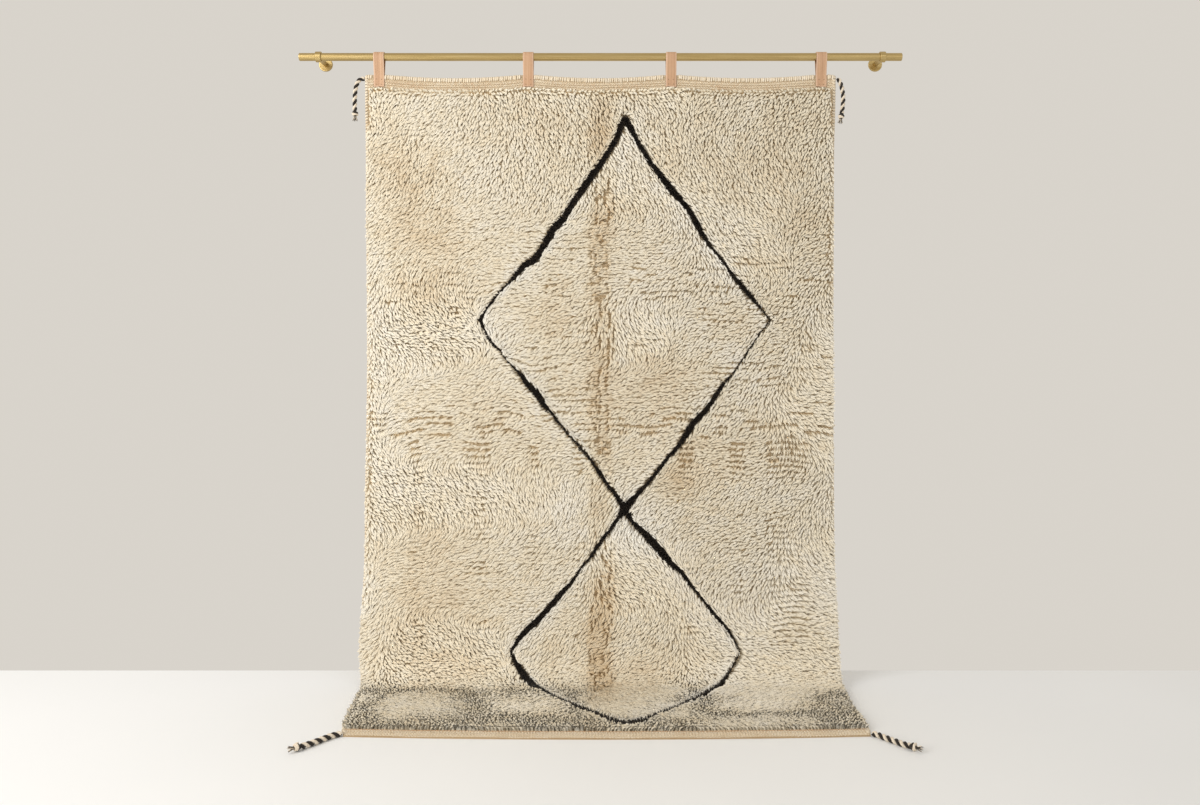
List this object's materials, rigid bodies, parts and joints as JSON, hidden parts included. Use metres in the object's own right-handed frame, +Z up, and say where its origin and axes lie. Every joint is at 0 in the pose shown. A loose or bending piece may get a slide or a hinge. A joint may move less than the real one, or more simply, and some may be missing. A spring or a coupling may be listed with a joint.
{
  "type": "beni ourain rug hung from a brass wall rod",
  "caption": "Shaggy cream wool rug with black lozenge lines, hung by leather tabs from a brass wall rod, its lower end curving out onto the floor.",
  "frame": {"origin": "centre of the left wall plate's back face, on the wall; the rod's axis is level with it and 85 mm out", "axes": "+X along the rod, to the right for a viewer facing the wall; +Y into the wall; +Z up. The floor is at z = -2.02 m"},
  "size_m": [1.955, 0.6812, 2.043],
  "materials": {
    "brass": "brushed, satin, warm yellow brass",
    "leather": "natural vegetable-tanned leather, tan, matt, cut edges",
    "cream_wool": "thick undyed cream wool pile with near-black wool lines, matt",
    "tie_yarn": "plied wool yarn, one near-black and one cream strand twisted together"
  },
  "bodies": {
    "root": {"rod": "brass", "bracket_left": "brass", "bracket_right": "brass", "wall_plate_left": "brass", "wall_plate_right": "brass", "tab_1": "leather", "tab_2": "leather", "tab_3": "leather", "tab_4": "leather", "rug": "cream_wool", "tie_top_left": "tie_yarn", "knot_top_left": "tie_yarn", "tie_top_right": "tie_yarn", "knot_top_right": "tie_yarn", "tie_bottom_left": "tie_yarn", "knot_bottom_left": "tie_yarn", "tie_bottom_right": "tie_yarn", "knot_bottom_right": "tie_yarn"}
  },
  "joints": []
}
